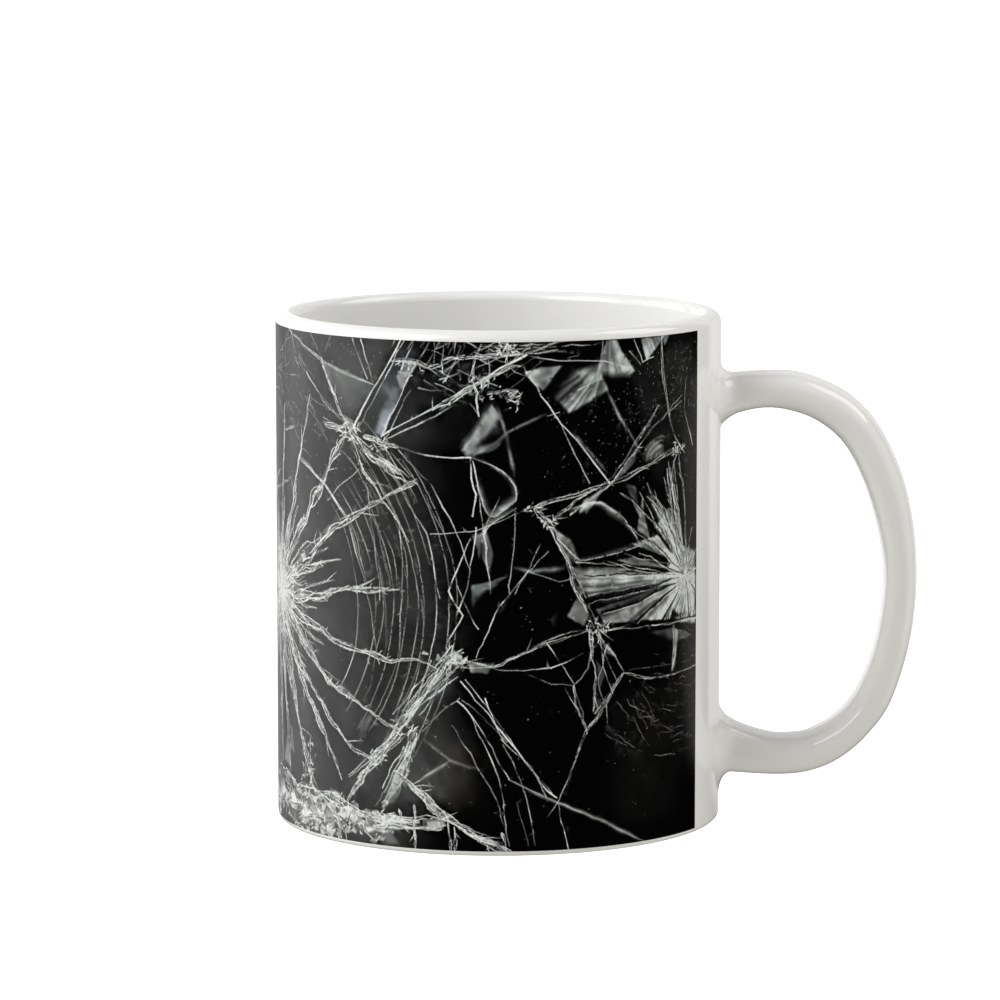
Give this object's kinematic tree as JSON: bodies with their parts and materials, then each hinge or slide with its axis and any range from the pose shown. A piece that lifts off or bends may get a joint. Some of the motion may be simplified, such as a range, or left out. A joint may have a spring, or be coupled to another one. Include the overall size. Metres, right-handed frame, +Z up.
{
  "type": "printed ceramic mug",
  "caption": "Straight-walled white ceramic mug with a D-shaped side handle and a wrap-around print of cracked black glass; holds a hot or cold drink.",
  "frame": {"origin": "centre of the bounding box's underside, on the surface the mug stands on; the cup's own axis stands at x = -0.018475", "axes": "+Z up along the cup's axis, +X from the cup towards the handle, +Y across the handle"},
  "size_m": [0.12, 0.083, 0.0952],
  "materials": {
    "glaze": "clear gloss glaze over white stoneware",
    "print": "print fused into the glossy coating, black with white and grey cracks"
  },
  "bodies": {
    "root": {"mug": "glaze"}
  },
  "joints": []
}
